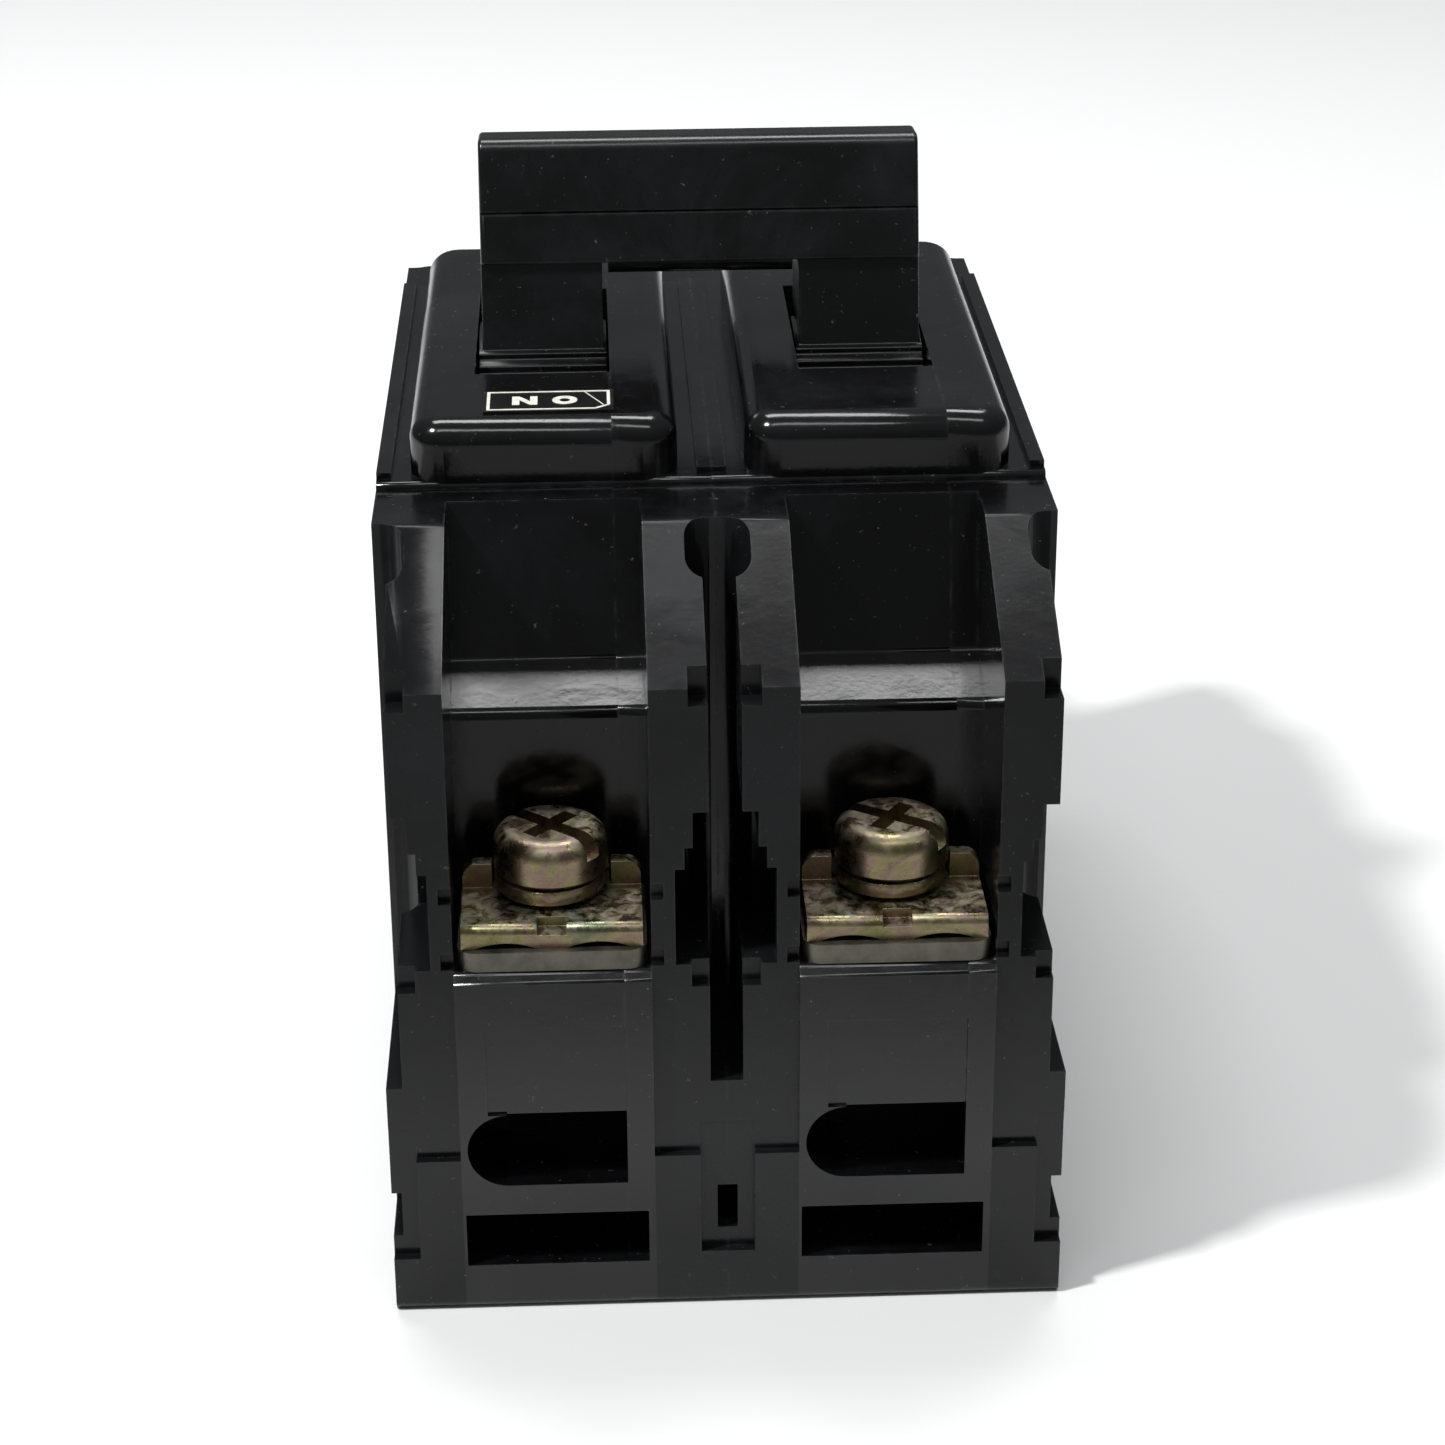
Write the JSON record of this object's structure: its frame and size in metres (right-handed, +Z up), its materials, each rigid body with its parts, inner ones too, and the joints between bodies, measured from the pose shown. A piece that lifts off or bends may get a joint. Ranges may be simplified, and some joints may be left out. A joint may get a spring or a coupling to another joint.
{
  "type": "circuit breaker",
  "caption": "Moulded-case circuit breaker, side-by-side poles with joined toggle handles, screw clamp terminals in barrier recesses and a flat mounting foot.",
  "frame": {"origin": "centre of the flat mounting face", "axes": "+Z up out of the mounting face towards the handles, +X across the poles, -Y towards the load terminals"},
  "size_m": [0.05, 0.095, 0.0779],
  "materials": {
    "phenolic_shell": "moulded phenolic, polished mould",
    "phenolic_handle": "moulded phenolic, satin gloss",
    "phenolic_trip": "moulded phenolic, brown",
    "yellow_zinc_steel": "steel, zinc plated with yellow chromate",
    "plated_brass": "brass, dull tin plate",
    "silver_contact": "silver alloy",
    "copper": "bare copper",
    "bimetal": "rolled strip",
    "plain_steel": "stamped steel",
    "bright_steel": "bright plated steel",
    "red_fibre": "vulcanised fibre",
    "marking_plate": "printed laminate"
  },
  "bodies": {
    "housing": {"base_shell_left": "phenolic_shell", "cover_shell_left": "phenolic_shell", "line_strap_left": "plated_brass", "fixed_contact_left": "silver_contact", "load_strap_left": "plated_brass", "calibration_screw_left": "plain_steel", "bimetal_left": "bimetal", "arc_plates_left": "plain_steel", "arc_boards_left": "red_fibre", "cradle_pin_left": "plain_steel", "magnet_yoke_left": "plain_steel", "braid_left": "copper", "base_shell_right": "phenolic_shell", "cover_shell_right": "phenolic_shell", "line_strap_right": "plated_brass", "fixed_contact_right": "silver_contact", "load_strap_right": "plated_brass", "calibration_screw_right": "plain_steel", "bimetal_right": "bimetal", "arc_plates_right": "plain_steel", "arc_boards_right": "red_fibre", "cradle_pin_right": "plain_steel", "magnet_yoke_right": "plain_steel", "braid_right": "copper", "through_rivets": "bright_steel", "marking_plate": "marking_plate"},
    "handles": {"handle_left": "phenolic_handle", "handle_right": "phenolic_handle", "handle_bar": "phenolic_handle"},
    "contact_arm_left": {"contact_arm_left": "copper", "moving_contact_left": "silver_contact", "toggle_spring_left": "plain_steel"},
    "trip_cradle_left": {"trip_cradle_left": "plain_steel"},
    "armature_left": {"armature_left": "plain_steel"},
    "contact_arm_right": {"contact_arm_right": "copper", "moving_contact_right": "silver_contact", "toggle_spring_right": "plain_steel"},
    "trip_cradle_right": {"trip_cradle_right": "plain_steel"},
    "armature_right": {"armature_right": "plain_steel"},
    "trip_bar": {"trip_bar": "phenolic_trip"},
    "clamp_load_left": {"saddle_clamp_load_left": "yellow_zinc_steel", "spring_washer_load_left": "yellow_zinc_steel"},
    "screw_load_left": {"terminal_screw_load_left": "yellow_zinc_steel"},
    "clamp_load_right": {"saddle_clamp_load_right": "yellow_zinc_steel", "spring_washer_load_right": "yellow_zinc_steel"},
    "screw_load_right": {"terminal_screw_load_right": "yellow_zinc_steel"},
    "clamp_line_left": {"saddle_clamp_line_left": "yellow_zinc_steel", "spring_washer_line_left": "yellow_zinc_steel"},
    "screw_line_left": {"terminal_screw_line_left": "yellow_zinc_steel"},
    "clamp_line_right": {"saddle_clamp_line_right": "yellow_zinc_steel", "spring_washer_line_right": "yellow_zinc_steel"},
    "screw_line_right": {"terminal_screw_line_right": "yellow_zinc_steel"}
  },
  "joints": [
    {"name": "handle_throw", "type": "hinge", "parent": "housing", "child": "handles", "pos_m": [0, -0.0025, 0.0493], "axis": [1, 0, 0], "range_deg": [-17.5, 26.5]},
    {"name": "arm_swing_left", "type": "hinge", "parent": "handles", "child": "contact_arm_left", "pos_m": [-0.01255, -0.00313, 0.04133], "axis": [1, 0, 0], "range_deg": [-14.2, 9.5], "deforming": ["toggle_spring_left"]},
    {"name": "cradle_drop_left", "type": "hinge", "parent": "housing", "child": "trip_cradle_left", "pos_m": [-0.01255, 0.015, 0.04], "axis": [1, 0, 0], "range_deg": [0, 12]},
    {"name": "armature_pull_left", "type": "hinge", "parent": "housing", "child": "armature_left", "pos_m": [-0.01255, -0.0177, 0.0404], "axis": [1, 0, 0], "range_deg": [-4.5, 0], "stiffness_Nm_per_rad": 0.02},
    {"name": "arm_swing_right", "type": "hinge", "parent": "handles", "child": "contact_arm_right", "pos_m": [0.01245, -0.00313, 0.04133], "axis": [1, 0, 0], "range_deg": [-14.2, 9.5], "deforming": ["toggle_spring_right"]},
    {"name": "cradle_drop_right", "type": "hinge", "parent": "housing", "child": "trip_cradle_right", "pos_m": [0.01245, 0.015, 0.04], "axis": [1, 0, 0], "range_deg": [0, 12]},
    {"name": "armature_pull_right", "type": "hinge", "parent": "housing", "child": "armature_right", "pos_m": [0.01245, -0.0177, 0.0404], "axis": [1, 0, 0], "range_deg": [-4.5, 0], "stiffness_Nm_per_rad": 0.02},
    {"name": "trip_bar_turn", "type": "hinge", "parent": "housing", "child": "trip_bar", "pos_m": [0, -0.012, 0.022], "axis": [1, 0, 0], "range_deg": [-8, 8], "stiffness_Nm_per_rad": 0.02},
    {"name": "clamp_lift_load_left", "type": "slide", "parent": "housing", "child": "clamp_load_left", "axis": [0, 0, 1], "range_m": [0, 0.00302]},
    {"name": "screw_turn_load_left", "type": "hinge", "parent": "clamp_load_left", "child": "screw_load_left", "pos_m": [-0.01255, -0.04, 0.0334], "axis": [0, 0, 1], "range_deg": [0, 1540]},
    {"name": "clamp_lift_load_right", "type": "slide", "parent": "housing", "child": "clamp_load_right", "axis": [0, 0, 1], "range_m": [0, 0.00302]},
    {"name": "screw_turn_load_right", "type": "hinge", "parent": "clamp_load_right", "child": "screw_load_right", "pos_m": [0.01245, -0.04, 0.0334], "axis": [0, 0, 1], "range_deg": [0, 1540]},
    {"name": "clamp_lift_line_left", "type": "slide", "parent": "housing", "child": "clamp_line_left", "axis": [0, 0, 1], "range_m": [0, 0.00302]},
    {"name": "screw_turn_line_left", "type": "hinge", "parent": "clamp_line_left", "child": "screw_line_left", "pos_m": [-0.01255, 0.04, 0.0334], "axis": [0, 0, 1], "range_deg": [0, 1540]},
    {"name": "clamp_lift_line_right", "type": "slide", "parent": "housing", "child": "clamp_line_right", "axis": [0, 0, 1], "range_m": [0, 0.00302]},
    {"name": "screw_turn_line_right", "type": "hinge", "parent": "clamp_line_right", "child": "screw_line_right", "pos_m": [0.01245, 0.04, 0.0334], "axis": [0, 0, 1], "range_deg": [0, 1540]}
  ],
  "couplings": [
    {"joint": "arm_swing_left", "follows": "handle_throw", "ratio": -0.524},
    {"joint": "arm_swing_right", "follows": "handle_throw", "ratio": -0.524},
    {"joint": "clamp_lift_load_left", "follows": "screw_turn_load_left", "m_per_rad": 0.00011141},
    {"joint": "clamp_lift_load_right", "follows": "screw_turn_load_right", "m_per_rad": 0.00011141},
    {"joint": "clamp_lift_line_left", "follows": "screw_turn_line_left", "m_per_rad": 0.00011141},
    {"joint": "clamp_lift_line_right", "follows": "screw_turn_line_right", "m_per_rad": 0.00011141}
  ]
}
